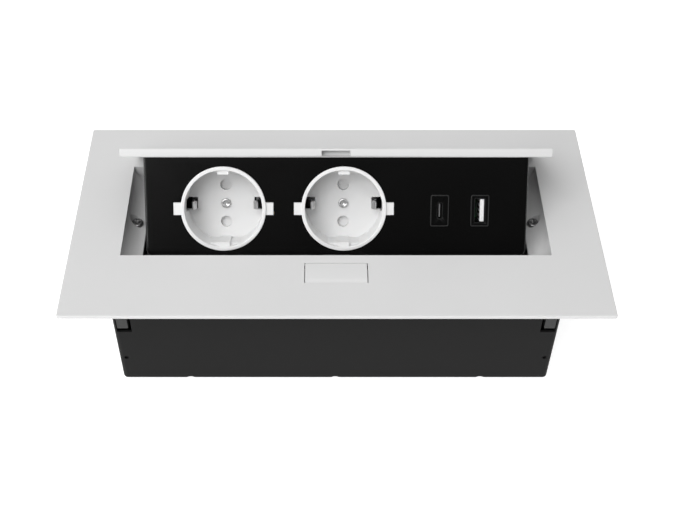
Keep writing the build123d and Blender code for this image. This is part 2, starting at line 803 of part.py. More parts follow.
c_x, a_x = port_places["usb_c"], port_places["usb_a"]
module_pieces["usb_c_insert"] = port_insert(c_x, usb_c_width, usb_c_height, usb_c_corner)
module_pieces["usb_c_shell"] = port_shell(c_x, usb_c_width, usb_c_height, usb_c_corner)
module_pieces["usb_c_tongue"] = port_tongue(c_x, 0, 0.7, 6.7, 1.0)
module_pieces["usb_a_insert"] = port_insert(a_x, usb_a_width, usb_a_height, usb_a_corner)
module_pieces["usb_a_shell"] = port_shell(a_x, usb_a_width, usb_a_height, usb_a_corner)
module_pieces["usb_a_tongue"] = port_tongue(a_x, 1.1, 2.0, 11.2, 0.6)

# charger board behind the ports, with its parts
board_depth = port_shell_depth + 1.6
board_x = (c_x + a_x) / 2
with BuildPart() as charger_board:
    with BuildSketch(floor_plane(board_depth)):
        with Locations((board_x, 0)):
            Rectangle(42, 36)
        with Locations(*[(board_x + side * 18, 15) for side in (-1, 1)]):
            Circle(1.5, mode=Mode.SUBTRACT)
    extrude(amount=-1.6)
module_pieces["charger_board"] = charger_board.part

with BuildPart() as charger_transformer:
    with BuildSketch(floor_plane(board_depth + 1.6)):
        with Locations((board_x + 8, -6)):
            Rectangle(16, 18)
    extrude(amount=-13)
    chamfer(charger_transformer.edges().group_by(facing)[0], 1.0)
module_pieces["charger_transformer"] = charger_transformer.part

with BuildPart() as charger_capacitors:
    with BuildSketch(floor_plane(board_depth + 1.6)):
        with Locations((board_x - 9, -10), (board_x - 9, 1)):
            Circle(4.0)
    extrude(amount=-12)
    fillet(charger_capacitors.edges().group_by(facing)[0], 0.6)
module_pieces["charger_capacitors"] = charger_capacitors.part

# ================================================================ wiring parts inside the shell
bar_depth = base_top + base_depth + 0.2


def busbar(y, depth):
    """A flat bar along the back of both contact carriers, on to the terminal block."""
    with BuildPart() as bar:
        with BuildSketch(floor_plane(depth)):
            left = cup_places[0] - 6
            with Locations(((left + terminal_x - 6) / 2, y)):
                Rectangle(terminal_x - 6 - left, 4)
        extrude(amount=-bar_thickness)
    return bar.part


terminal_x = 34.0
module_pieces["line_busbar"] = busbar(pin_pitch / 2, bar_depth)
module_pieces["neutral_busbar"] = busbar(-pin_pitch / 2, bar_depth)

terminal_spots = (-10, 0, 10)
terminal_well = 6.0
with BuildPart() as terminal_block:
    with BuildSketch(floor_plane(base_top)):
        with Locations((terminal_x, 0)):
            Rectangle(11, 30)
    extrude(amount=-15)
    for radius, depth in (
        (terminal_screw_head_radius + 0.4, terminal_well),
        (terminal_screw_radius + running_clearance, terminal_well + 4),
    ):
        with BuildSketch(floor_plane(base_top)):
            with Locations(*[(terminal_x, y) for y in terminal_spots]):
                Circle(radius)
        extrude(amount=-depth, mode=Mode.SUBTRACT)
module_pieces["terminal_block"] = terminal_block.part

terminal_seats = [face_spot(terminal_x, y, base_top + terminal_well) for y in terminal_spots]
module_pieces["terminal_screws"] = screw_group(
    terminal_seats, terminal_screw_head_radius, 1.4, terminal_screw_radius, 3.0
)

# strain-relief gland in the shell's back wall, with its nut inside
gland_axis = Location((cable_hole_x, shell_back, top - gland_drop), (90, 0, 0))
with BuildPart() as cable_gland:
    Cylinder(7.5, 3.0, align=hang)
    with BuildSketch():
        RegularPolygon(8.0, 6)
    extrude(amount=-5)
    with BuildSketch(Plane.XY.offset(-5)):
        Circle(6.4)
    extrude(amount=-6, taper=10)
    Cylinder(6.0, 7.0, align=stand)
    Cylinder(4.0, 60, mode=Mode.SUBTRACT)
cable_gland.part.move(gland_axis)
module_pieces["cable_gland"] = cable_gland.part

with BuildPart() as gland_nut:
    with BuildSketch(Plane.XY.offset(shell_wall)):
        RegularPolygon(8.5, 6)
        Circle(6.0 + running_clearance, mode=Mode.SUBTRACT)
    extrude(amount=3)
gland_nut.part.move(gland_axis)
module_pieces["gland_nut"] = gland_nut.part

# screws from inside the shell into the back of the panel
shell_seats = [face_spot(x, y, panel_thickness + boss_length, inward=True) for x, y in shell_screw_spots]
module_pieces["panel_screws"] = screw_group(
    shell_seats, panel_screw_head_radius, 1.4, panel_screw_radius, boss_length + 1.6
)

# ================================================================ push button
button_stop = 0.3
with BuildPart() as push_button:
    with BuildSketch(Plane.XY.offset(top + button_proud)):
        with Locations((0, button_middle)):
            RectangleRounded(button_width, button_depth, 0.6)
    extrude(amount=-(button_cap + button_proud))
    with BuildSketch(Plane.YZ.offset(-button_width)):
        with BuildLine():
            Polyline(
                (button_front, top + button_proud - button_bevel_drop),
                (button_front + button_bevel_depth, top + button_proud),
                (button_front, top + button_proud + 1), (button_front - 1, top), close=True,
            )
        make_face()
    extrude(amount=2 * button_width, mode=Mode.SUBTRACT)
    with BuildSketch(Plane.XY.offset(underside - button_stop)):
        with Locations((0, button_middle)):
            Rectangle(button_width + 3, button_depth - 3)
    extrude(amount=-(button_cap - plate_thickness - button_stop))
    with BuildSketch(Plane.YZ.offset(-stem_width / 2)):
        with BuildLine():
            Polyline(
                (stem_rear, top - button_cap), (stem_rear, top - stem_foot),
                (stem_rear - stem_foot_depth, top - stem_foot),
                (stem_rear - stem_foot_depth - latch_ratio * 6.5, top - stem_foot + 6.5),
                (stem_rear - stem_foot_depth - latch_ratio * 6.5, top - button_cap), close=True,
            )
        make_face()
    extrude(amount=stem_width)
frame_pieces["push_button"] = push_button.part

# ================================================================ latch bolt
bolt_gap = 0.12
tongue_rear = lid_front + tongue_reach - 0.3


def ramp_y(drop):
    """Where the stem's sloped front face stands, at a depth under the plate top."""
    return stem_rear - stem_foot_depth - latch_ratio * (stem_foot - drop)


with BuildPart() as latch_bolt:
    with BuildSketch(Plane.YZ.offset(-bolt_width / 2)):
        with BuildLine():
            web_back = opening_front - 0.6
            Polyline(
                (tongue_rear, top - tongue_bottom), (tongue_rear - 0.9, top - tongue_top - 0.1),
                (web_back - 1.5, top - tongue_top - 0.1), (web_back - 1.5, top - bolt_top),
                (bolt_front, top - bolt_top), (bolt_front, top - bolt_bottom),
                (web_back, top - bolt_bottom), (web_back, top - tongue_bottom), close=True,
            )
        make_face()
    extrude(amount=bolt_width)
    window_rear = stem_rear + latch_ratio * button_travel + 0.4
    with BuildSketch(Plane.YZ.offset(-stem_width / 2 - 0.4)):
        with BuildLine():
            Polyline(
                (ramp_y(bolt_top - 1) - bolt_gap, top - bolt_top + 1),
                (window_rear, top - bolt_top + 1), (window_rear, top - bolt_bottom - 1),
                (ramp_y(bolt_bottom + 1) - bolt_gap, top - bolt_bottom - 1), close=True,
            )
        make_face()
    extrude(amount=stem_width + 0.8, mode=Mode.SUBTRACT)
frame_pieces["latch_bolt"] = latch_bolt.part

# ================================================================ latch housing, springs and screws
post_x = 12.0
post_top = 10.0
ear_thickness = 2.0
with BuildPart() as latch_housing:
    middle_y = (housing_front + housing_rear) / 2
    length_y = housing_rear - housing_front
    housing_height = housing_drop - plate_thickness
    with Locations((0, middle_y, underside)):
        Box(2 * housing_half, length_y, housing_height, align=hang)
        Box(
            2 * (housing_half - housing_wall), length_y - 2 * housing_wall,
            housing_height - housing_wall, align=hang, mode=Mode.SUBTRACT,
        )
    with Locations((0, housing_rear, underside)):
        slot_drop = bolt_bottom + 0.6 - plate_thickness
        Box(bolt_width + 2, 4 * housing_wall, slot_drop, align=hang, mode=Mode.SUBTRACT)
    rest = top - bolt_bottom - fit_gap
    for side in (-1, 1):
        with Locations((side * (stem_width / 2 + 0.8 + 0.8), middle_y, top - housing_drop)):
            Box(1.6, length_y, rest - top + housing_drop, align=stand)
        with Locations((side * post_x, button_middle, top - housing_drop)):
            Cylinder(2.6, housing_drop - post_top, align=stand)
            Cylinder(1.4, housing_drop - post_top + 1.6, align=stand)
        ear_middle = side * (housing_half + housing_ear_x + boss_radius) / 2
        with Locations((ear_middle, housing_ear_y, top - boss_drop)):
            Box(housing_ear_x + boss_radius - housing_half + 1, 8, ear_thickness, align=hang)
        with Locations((side * housing_ear_x, housing_ear_y, top - boss_drop)):
            Cylinder(housing_screw_radius + screw_slack, 8, mode=Mode.SUBTRACT)
frame_pieces["latch_housing"] = latch_housing.part

ear_under = top - boss_drop - ear_thickness
housing_seats = [
    Plane(origin=(side * housing_ear_x, housing_ear_y, ear_under), z_dir=(0, 0, -1)) for side in (-1, 1)
]
frame_pieces["latch_housing_screws"] = screw_group(
    housing_seats, housing_screw_head_radius, 1.5, housing_screw_radius, 6.5
)

button_spring_length = post_top - button_cap - 0.5
frame_pieces["button_springs"] = Compound(children=[
    coil((side * post_x, button_middle, top - post_top + 0.3), (0, 0, 1), 2.1, 0.45,
         (button_spring_length - 0.3) / 5, 5)
    for side in (-1, 1)
])
latch_spring_length = -(housing_front + housing_wall) + bolt_front
frame_pieces["latch_spring"] = coil(
    (0, bolt_front - 0.35, top - (bolt_top + bolt_bottom) / 2), (0, -1, 0), 1.3, 0.35,
    (latch_spring_length - 0.7) / 6, 6,
)

# ================================================================ files
for piece in module_pieces.values():
    piece.move(open_turn)
for name, piece in {**frame_pieces, **module_pieces}.items():
    piece.label = name
    export_step(piece, f"parts/{name}.step")
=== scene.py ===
# %% [markdown]
# A flip-up desk power box in Blender.
#
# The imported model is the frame: every metal and plastic part is already in its place, in metres, and
# rides on its own body. Blender's work is the look. It softens the edges that a real press or mould
# would leave round, gives every part its finish, adds the small contacts, and lights the whole.

from math import cos, pi, radians, sin

import bpy
from mathutils import Matrix, Vector
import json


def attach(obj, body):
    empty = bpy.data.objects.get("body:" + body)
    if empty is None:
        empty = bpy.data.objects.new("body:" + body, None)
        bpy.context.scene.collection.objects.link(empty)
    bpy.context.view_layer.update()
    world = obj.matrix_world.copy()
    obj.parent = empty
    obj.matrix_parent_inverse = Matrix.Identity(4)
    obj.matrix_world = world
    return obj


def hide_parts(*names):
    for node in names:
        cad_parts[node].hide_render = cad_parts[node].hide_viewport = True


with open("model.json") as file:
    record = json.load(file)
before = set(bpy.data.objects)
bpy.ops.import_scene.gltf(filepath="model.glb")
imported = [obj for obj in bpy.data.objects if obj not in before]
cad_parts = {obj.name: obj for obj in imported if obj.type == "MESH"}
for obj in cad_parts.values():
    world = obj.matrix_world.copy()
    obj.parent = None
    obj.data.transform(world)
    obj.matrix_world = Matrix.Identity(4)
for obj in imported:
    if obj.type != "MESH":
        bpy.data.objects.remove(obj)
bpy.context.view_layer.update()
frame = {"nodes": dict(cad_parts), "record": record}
nodes = frame["nodes"]
mm = 0.001

# %% [markdown]
# The record says which body carries each part and which finish it takes. New pieces are placed from
# the parts' own measures and from two directions: the panel faces the user, 35 degrees above level,
# and the second direction runs up its face.

# %% Read the record and the panel's lean
node_body = {
    node: body for body, members in frame["record"]["behaviour"]["bodies"].items() for node in members
}
node_slot = {entry["node"]: entry["material_slot"] for entry in frame["record"]["subparts"]}
face_tilt = radians(35.0)
face_normal = Vector((0, -cos(face_tilt), sin(face_tilt)))
face_up = Vector((0, sin(face_tilt), cos(face_tilt)))
print("parts", len(node_body), "panel faces", tuple(round(value, 3) for value in face_normal))

# %% [markdown]
# The camera stands in front of the box and looks down on it at about 48 degrees, level and straight
# along the desk's depth. A small sideways shift keeps the box in the middle of the frame while the
# camera itself stands a little left of the box's middle.

# %% Set the camera
camera_place = Vector((-0.0085, -0.4065, 0.4732))
camera_pitch = radians(47.7)
sensor_width, lens_length, sideways_shift = 36.0, 58.83, 0.0393
camera_data = bpy.data.cameras.new("desk_camera")
camera_data.sensor_width = sensor_width
camera_data.lens = lens_length
camera_data.shift_x = sideways_shift
camera = bpy.data.objects.new("desk_camera", camera_data)
camera.location = camera_place
camera.rotation_euler = (pi / 2 - camera_pitch, 0, 0)
bpy.context.scene.collection.objects.link(camera)
bpy.context.scene.camera = camera
print("camera", tuple(camera.location))

# %% [markdown]
# Nothing is done by hand in a window here, so each step first says what it works on. These helpers
# are the hand and the eye: one selects a single object, and one picks faces by a test on their place.

# %% Helpers for selecting
def select_only(piece):
    """Leave edit mode, and make one object the selected and active one."""
    if bpy.context.mode != "OBJECT":
        bpy.ops.object.mode_set(mode="OBJECT")
    bpy.ops.object.select_all(action="DESELECT")
    piece.select_set(True)
    bpy.context.view_layer.objects.active = piece


def pick_faces(piece, test):
    """Select the faces whose centre and normal pass the test, and stay in edit mode."""
    select_only(piece)
    bpy.ops.object.mode_set(mode="EDIT")
    bpy.ops.mesh.select_mode(type="FACE")
    bpy.ops.mesh.select_all(action="DESELECT")
    bpy.ops.object.mode_set(mode="OBJECT")
    for polygon in piece.data.polygons:
        polygon.select = bool(test(polygon.center, polygon.normal))
    bpy.ops.object.mode_set(mode="EDIT")


# %% [markdown]
# Pressed sheet and moulded plastic have no knife edges. A copy of a part is merged into one skin, a
# narrow bevel rounds every edge sharper than a set angle, and smooth shading by angle keeps the flats
# flat. The copy then stands for the part, so the measures never change. The cups' mesh is too fine for
# a free bevel where the lugs meet the ring, so theirs is held to what fits.

# %% Soften a part's edges
sharp_angle = radians(28)
merge_distance = 1e-6
edge_steps = 2
flat_weight = 100


def soften(node, width):
    """A copy of a part, its sharp edges rounded by this width if it has one, shown in its place."""
    source = nodes[node]
    copy = bpy.data.objects.new(f"{node}_finished", source.data.copy())
    bpy.context.scene.collection.objects.link(copy)
    select_only(copy)
    bpy.ops.object.mode_set(mode="EDIT")
    bpy.ops.mesh.select_all(action="SELECT")
    bpy.ops.mesh.remove_doubles(threshold=merge_distance)
    bpy.ops.object.mode_set(mode="OBJECT")
    if width:
        bevel = copy.modifiers.new("edge", "BEVEL")
        bevel.limit_method = "ANGLE"
        bevel.angle_limit = sharp_angle
        bevel.width = width
        bevel.segments = edge_steps
        bevel.loop_slide = False
        bevel.use_clamp_overlap = node.startswith("socket_cup")
        bpy.ops.object.modifier_apply(modifier=bevel.name)
    bpy.ops.object.shade_smooth_by_angle(angle=sharp_angle)
    flats = copy.modifiers.new("flats", "WEIGHTED_NORMAL")
    flats.keep_sharp = True
    flats.weight = flat_weight
    bpy.ops.object.modifier_apply(modifier=flats.name)
    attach(copy, node_body[node])
    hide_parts(node)
    return copy


# %% [markdown]
# A finish is more than a colour. On real coated metal and moulded plastic the gloss varies a little
# from place to place and a fine grain breaks up the highlights. One helper lays those three layers,
# tone, gloss and grain, over object coordinates, so they stay put when the part moves. Each finish
# then has a short function that gives it its own colours and scales and whatever else is its own.

# %% A base for every finish
def layered_finish(name, dark, light, gloss, grain_size, grain_depth, cloud_size=0.03):
    """A surface whose tone drifts between two colours, and whose gloss and grain come from noise."""
    material = bpy.data.materials.new(name)
    material.use_nodes = True
    tree = material.node_tree
    shader = tree.nodes["Principled BSDF"]
    place = tree.nodes.new("ShaderNodeTexCoord")

    clouds = tree.nodes.new("ShaderNodeTexNoise")
    clouds.inputs["Scale"].default_value = 1 / cloud_size
    clouds.inputs["Detail"].default_value = 4
    tree.links.new(place.outputs["Object"], clouds.inputs["Vector"])
    tone = tree.nodes.new("ShaderNodeMix")
    tone.data_type = "RGBA"
    tone.inputs["A"].default_value = (*dark, 1)
    tone.inputs["B"].default_value = (*light, 1)
    tree.links.new(clouds.outputs["Fac"], tone.inputs["Factor"])
    tree.links.new(tone.outputs["Result"], shader.inputs["Base Color"])

    grain = tree.nodes.new("ShaderNodeTexNoise")
    grain.inputs["Scale"].default_value = 1 / grain_size
    grain.inputs["Detail"].default_value = 2
    tree.links.new(place.outputs["Object"], grain.inputs["Vector"])
    shine = tree.nodes.new("ShaderNodeMapRange")
    shine.inputs["To Min"].default_value = gloss[0]
    shine.inputs["To Max"].default_value = gloss[1]
    tree.links.new(clouds.outputs["Fac"], shine.inputs["Value"])
    tree.links.new(shine.outputs["Result"], shader.inputs["Roughness"])
    relief = tree.nodes.new("ShaderNodeBump")
    relief.inputs["Strength"].default_value = 0.6
    relief.inputs["Distance"].default_value = grain_depth
    tree.links.new(grain.outputs["Fac"], relief.inputs["Height"])
    tree.links.new(relief.outputs["Normal"], shader.inputs["Normal"])
    return material, tree, shader, place, tone, relief


def grey(value):
    """A neutral linear colour."""
    return (value, value, value)


# %% [markdown]
# The plate and the button are sheet metal under a satin light-grey coat. Such a coat has a faint
# orange peel: soft ripples under half a millimetre across, too shallow to see except in a highlight.

# %% Satin plate
def satin_plate():
    material, _, shader, *_ = layered_finish(
        "satin_plate", grey(0.60), grey(0.65), (0.40, 0.50), 0.45 * mm, 0.012 * mm, 0.09
    )
    shader.inputs["Specular IOR Level"].default_value = 0.4
    return material


# %% [markdown]
# The lid has the same orange peel and a little more gloss. Its coat is a touch darker than the plate's,
# and in this light it still looks the brighter of the two.

# %% White lid
def white_lid():
    material, _, shader, *_ = layered_finish(
        "white_lid", grey(0.56), grey(0.62), (0.36, 0.46), 0.45 * mm, 0.012 * mm, 0.09
    )
    shader.inputs["Specular IOR Level"].default_value = 0.4
    return material


# %% [markdown]
# The panel round the sockets is moulded black plastic with a soft gloss. A spark-eroded mould leaves a
# very fine even grain, which is what stops the panel from looking like glass.

# %% Black panel and black plastic
def black_panel():
    material, _, shader, *_ = layered_finish(
        "black_panel", grey(0.0010), grey(0.0015), (0.20, 0.26), 0.18 * mm, 0.004 * mm, 0.04
    )
    shader.inputs["Specular IOR Level"].default_value = 0.22
    return material


def black_plastic():
    material, _, shader, *_ = layered_finish(
        "black_plastic", grey(0.005), grey(0.008), (0.42, 0.55), 0.3 * mm, 0.02 * mm, 0.02
    )
    shader.inputs["Specular IOR Level"].default_value = 0.35
    return material


# %% [markdown]
# The tray is folded steel with a charcoal powder coat. Powder melts into small pebbles, so its grain is
# coarser than paint: a cell pattern is laid over the fine noise, and the gloss stays low.

# %% Charcoal tray and brackets
def charcoal_tray():
    material, tree, shader, place, _, relief = layered_finish(
        "charcoal_tray", grey(0.010), grey(0.014), (0.50, 0.62), 0.5 * mm, 0.02 * mm, 0.05
    )
    pebbles = tree.nodes.new("ShaderNodeTexVoronoi")
    pebbles.feature = "SMOOTH_F1"
    pebbles.inputs["Scale"].default_value = 1 / (0.7 * mm)
    tree.links.new(place.outputs["Object"], pebbles.inputs["Vector"])
    second = tree.nodes.new("ShaderNodeBump")
    second.inputs["Strength"].default_value = 0.35
    second.inputs["Distance"].default_value = 0.02 * mm
    tree.links.new(pebbles.outputs["Distance"], second.inputs["Height"])
    tree.links.new(relief.outputs["Normal"], second.inputs["Normal"])
    tree.links.new(second.outputs["Normal"], shader.inputs["Normal"])
    shader.inputs["Specular IOR Level"].default_value = 0.08
    return material


def charcoal_bracket():
    material, *_ = layered_finish(
        "charcoal_bracket", grey(0.016), grey(0.022), (0.5, 0.62), 0.25 * mm, 0.015 * mm, 0.02
    )
    return material


# %% [markdown]
# The socket cups are a hard white moulding. Light goes a little way into such plastic before it comes
# back, which keeps the shaded walls from going dead grey, and the surface has a low clear gloss.

# %% White socket plastic and its grey neighbour
def white_socket():
    material, _, shader, *_ = layered_finish(
        "white_socket", grey(0.68), grey(0.74), (0.30, 0.38), 0.35 * mm, 0.005 * mm, 0.03
    )
    shader.inputs["Subsurface Weight"].default_value = 0.15
    shader.inputs["Subsurface Scale"].default_value = 0.6 * mm
    shader.inputs["Subsurface Radius"].default_value = (1.0, 0.9, 0.8)
    return material


def grey_tongue():
    material, *_ = layered_finish(
        "grey_tongue", grey(0.10), grey(0.15), (0.45, 0.55), 0.15 * mm, 0.008 * mm, 0.004
    )
    return material


# %% [markdown]
# Bare metal is told by its streaks. Stamped and turned parts are rubbed or drawn in one direction, so
# the noise is stretched along one axis and drives a fine relief. Case screws are oxide black, those in
# the cheeks are grey steel, the springs are oiled wire, and the plug contacts and busbars are brass.

# %% Bare metals
def drawn_metal(name, dark, light, gloss, streak):
    """Metal with fine streaks: the noise is stretched along the drawn direction."""
    material, tree, shader, place, _, relief = layered_finish(
        name, dark, light, gloss, 0.12 * mm, 0.004 * mm, 0.006
    )
    shader.inputs["Metallic"].default_value = 1.0
    stretch = tree.nodes.new("ShaderNodeMapping")
    stretch.inputs["Scale"].default_value = streak
    lines = tree.nodes.new("ShaderNodeTexNoise")
    lines.inputs["Scale"].default_value = 1 / (0.2 * mm)
    tree.links.new(place.outputs["Object"], stretch.inputs["Vector"])
    tree.links.new(stretch.outputs["Vector"], lines.inputs["Vector"])
    scratch = tree.nodes.new("ShaderNodeBump")
    scratch.inputs["Strength"].default_value = 0.4
    scratch.inputs["Distance"].default_value = 0.004 * mm
    tree.links.new(lines.outputs["Fac"], scratch.inputs["Height"])
    tree.links.new(relief.outputs["Normal"], scratch.inputs["Normal"])
    tree.links.new(scratch.outputs["Normal"], shader.inputs["Normal"])
    return material


def steel():
    return drawn_metal("steel", grey(0.52), grey(0.64), (0.26, 0.38), (1, 0.05, 1))


def screw_steel():
    return drawn_metal("screw_steel", grey(0.20), grey(0.28), (0.28, 0.38), (1, 1, 0.2))


def dark_shell():
    return drawn_metal("dark_shell", grey(0.035), grey(0.060), (0.30, 0.42), (1, 0.05, 1))


def spring_steel():
    return drawn_metal("spring_steel", grey(0.22), grey(0.32), (0.3, 0.42), (0.1, 1, 1))


def brass():
    return drawn_metal("brass", (0.55, 0.37, 0.12), (0.70, 0.50, 0.20), (0.28, 0.42), (1, 0.08, 1))


def dark_screw():
    return drawn_metal("dark_screw", grey(0.030), grey(0.055), (0.34, 0.46), (1, 1, 0.3))


# %% [markdown]
# The small parts left are rubber, a circuit board and the sleeves of its capacitors. The board gets a
# grid of tracks from a brick pattern, in a lighter green, as copper looks under solder mask.

# %% Rubber, board and sleeves
def rubber():
    material, *_ = layered_finish(
        "rubber", grey(0.010), grey(0.018), (0.7, 0.85), 0.4 * mm, 0.03 * mm, 0.01
    )
    return material


def board():
    material, tree, shader, place, tone, _ = layered_finish(
        "board", (0.008, 0.055, 0.018), (0.012, 0.075, 0.026), (0.3, 0.4), 0.3 * mm, 0.005 * mm
    )
    tracks = tree.nodes.new("ShaderNodeTexBrick")
    tracks.inputs["Scale"].default_value = 1 / (9 * mm)
    tracks.inputs["Mortar Size"].default_value = 0.03
    tracks.inputs["Color1"].default_value = (0, 0, 0, 1)
    tracks.inputs["Color2"].default_value = (0, 0, 0, 1)
    tracks.inputs["Mortar"].default_value = (1, 1, 1, 1)
    tree.links.new(place.outputs["Object"], tracks.inputs["Vector"])
    copper = tree.nodes.new("ShaderNodeMix")
    copper.data_type = "RGBA"
    copper.inputs["B"].default_value = (0.03, 0.16, 0.06, 1)
    tree.links.new(tracks.outputs["Color"], copper.inputs["Factor"])
    tree.links.new(tone.outputs["Result"], copper.inputs["A"])
    tree.links.new(copper.outputs["Result"], shader.inputs["Base Color"])
    return material


def capacitor_sleeve():
    material, *_ = layered_finish(
        "capacitor_sleeve", (0.008, 0.010, 0.022), (0.012, 0.015, 0.03), (0.25, 0.35), 0.4 * mm,
        0.004 * mm,
    )
    return material


# %% [markdown]
# The record says which finish each part takes. Every part is given its material here, the hidden ones
# too, because the box can be turned round, opened and taken apart.

# %% Give every part its finish
finish_makers = (
    satin_plate, white_lid, black_panel, black_plastic, charcoal_tray, charcoal_bracket, white_socket,
    grey_tongue, steel, screw_steel, dark_shell, spring_steel, brass, dark_screw, rubber, board,
    capacitor_sleeve,
)
finishes = {maker.__name__: maker() for maker in finish_makers}


def paint(piece, finish):
    """Give a piece one finish all over."""
    piece.data.materials.clear()
    piece.data.materials.append(finishes[finish])


for node, part in nodes.items():
    paint(part, node_slot[node])
print(len(finishes), "finishes on", len(nodes), "parts")

# %% [markdown]
# Folded sheet, moulded plastic and rubber each have their own edge. The widths below, in millimetres,
# are what a maker would call the break of the edge: 0.35 on the lid, 0.1 on the plate, and less on the
# port frames. Screws, pins, springs, contacts, shutters and other small parts keep the shape they came
# with. The port frames match the panel, and the screws in the cups are brighter than in the cheeks.

# %% Soften the parts
edge_breaks = {
    "lid": 0.35, "face_panel": 0.15, "rear_shell": 0.3, "push_button": 0.3, "bezel_frame": 0.1,
    "recess_tray": 0.2, "end_bracket_left": 0.2, "end_bracket_right": 0.2, "socket_cup_1": 0.16,
    "socket_cup_2": 0.16, "cable_grommet": 0.4, "cable_gland": 0.25, "gland_nut": 0.25,
    "usb_c_insert": 0.08, "usb_a_insert": 0.08, "usb_c_tongue": 0.08, "usb_a_tongue": 0.12,
    "latch_housing": 0.25, "latch_bolt": 0.15, "stop_bumpers": 0.3, "pivot_bushes": 0.1,
    "terminal_block": 0.25, "charger_transformer": 0.2, "earth_clip_1": 0.08, "earth_clip_2": 0.08,
    "socket_base_1": 0.3, "socket_base_2": 0.3, "charger_board": 0.1,
}
finished = {node: soften(node, width * mm) for node, width in edge_breaks.items()}
for node in sorted(set(nodes) - set(edge_breaks)):
    finished[node] = soften(node, 0)
for node, piece in finished.items():
    paint(piece, node_slot[node])
other_finishes = {
    "usb_c_insert": "black_panel", "usb_a_insert": "black_panel",
    "cup_screw_1": "steel", "cup_screw_2": "steel",
}
for node, other_slot in other_finishes.items():
    paint(finished[node], other_slot)
print(len(finished), "parts finished")

# %% [markdown]
# The small parts of the ports are modelled by hand, flat on the panel's face: across, up the face and
# out of it. This matrix carries such a piece from the bench to its place on the leaning panel, and it
# is applied to the mesh, so that the finished object sits at the origin like every other part.

# %% The panel's own directions
def on_face(place):
    """The matrix that lays bench directions along the panel, with the bench's origin at a place."""
    across = Vector((1, 0, 0))
    turn = Matrix((across, face_up, face_normal)).transposed().to_4x4()
    return Matrix.Translation(place) @ turn


def lay_on_face(piece, place):
    """Carry a bench piece to its place on the panel and apply it to the mesh."""
    bpy.ops.object.mode_set(mode="OBJECT")
    select_only(piece)
    bpy.ops.object.transform_apply(location=True, rotation=True, scale=True)
    piece.data.transform(on_face(place))
    piece.data.update()


def face_middle_of(node):
    """The point on a node's outermost plane, above its middle."""
    points = [vertex.co for vertex in nodes[node].data.vertices]
    across = (max(p.x for p in points) + min(p.x for p in points)) / 2
    heights = [p @ face_up for p in points]
    up = (max(heights) + min(heights)) / 2
    front = max(p @ face_normal for p in points)
    return Vector((across, 0, 0)) + face_up * up + face_normal * front


print("port face", tuple(round(value, 4) for value in face_middle_of("usb_a_insert")))

# %% [markdown]
# Each port sits in a black frame with a raised lip all round, which catches a thin line of light. The
# lip is a flat rectangle with its middle inset and taken out, then raised and given round edges.

# %% Port frame lips
lip_width, lip_proud, lip_edge = 0.55 * mm, 0.22 * mm, 0.08 * mm
lip_margin, lip_corner, corner_steps = 0.2 * mm, 0.9 * mm, 4
front_layer = 0.0003


def port_lip(port):
    """The raised lip round one charging port's frame."""
    place = face_middle_of(f"{port}_insert")
    points = [vertex.co for vertex in nodes[f"{port}_insert"].data.vertices]
    outer = [p for p in points if p @ face_normal > place @ face_normal - front_layer]
    wide = max(p.x for p in outer) - min(p.x for p in outer)
    tall = max(p @ face_up for p in outer) - min(p @ face_up for p in outer)
    bpy.ops.object.select_all(action="DESELECT")
    bpy.ops.mesh.primitive_plane_add(size=1.0, location=(0, 0, 0))
    lip = bpy.context.object
    lip.scale = (wide - lip_margin, tall - lip_margin, 1)
    bpy.ops.object.transform_apply(scale=True)
    bpy.ops.object.mode_set(mode="EDIT")
    bpy.ops.mesh.select_all(action="SELECT")
    bpy.ops.mesh.bevel(offset=lip_corner, segments=corner_steps, affect="VERTICES")
    bpy.ops.mesh.inset(thickness=lip_width, depth=0)
    bpy.ops.mesh.delete(type="FACE")
    bpy.ops.mesh.select_all(action="SELECT")
    bpy.ops.mesh.extrude_region_move(TRANSFORM_OT_translate={"value": (0, 0, lip_proud)})
    bpy.ops.mesh.select_all(action="SELECT")
    bpy.ops.mesh.normals_make_consistent(inside=False)
    bpy.ops.object.mode_set(mode="OBJECT")
    edge = lip.modifiers.new("edge", "BEVEL")
    edge.width = lip_edge
    edge.segments = edge_steps
    edge.limit_method = "ANGLE"
    edge.angle_limit = sharp_angle
    bpy.ops.object.modifier_apply(modifier=edge.name)
    bpy.ops.object.shade_smooth_by_angle(angle=sharp_angle)
    lay_on_face(lip, place)
    lip.name = f"{port}_lip"
    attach(lip, "module")
    paint(lip, "black_plastic")
    return lip


lips = [port_lip(port) for port in ("usb_c", "usb_a")]
print("lips", [len(lip.data.polygons) for lip in lips])

# %% [markdown]
# Four leaf contacts stand off the white tongue of the larger port. One is modelled: a slim strip cut
# across into short lengths, with its middle pulled out into the bow that presses on a plug. The other
# three are copies with their own meshes. They take the dark finish of the port's shell.

# %% Leaf contacts on the white tongue
leaf_length, leaf_width, leaf_thickness, leaf_bow = 7.0 * mm, 1.0 * mm, 0.2 * mm, 0.55 * mm
leaf_pitch, leaf_setback, leaf_edge = 2.5 * mm, 0.8 * mm, 0.05 * mm
leaf_cuts = (-0.3, -0.15, 0.0, 0.15, 0.3)
leaf_bulges = ((0.2, 0.6), (0.05, 0.4))
leaf_sharp_angle, leaf_smooth_angle = radians(60), radians(40)
tongue_points = [vertex.co for vertex in nodes["usb_a_tongue"].data.vertices]
tongue_left = min(p.x for p in tongue_points)
tongue_face = face_middle_of("usb_a_tongue")


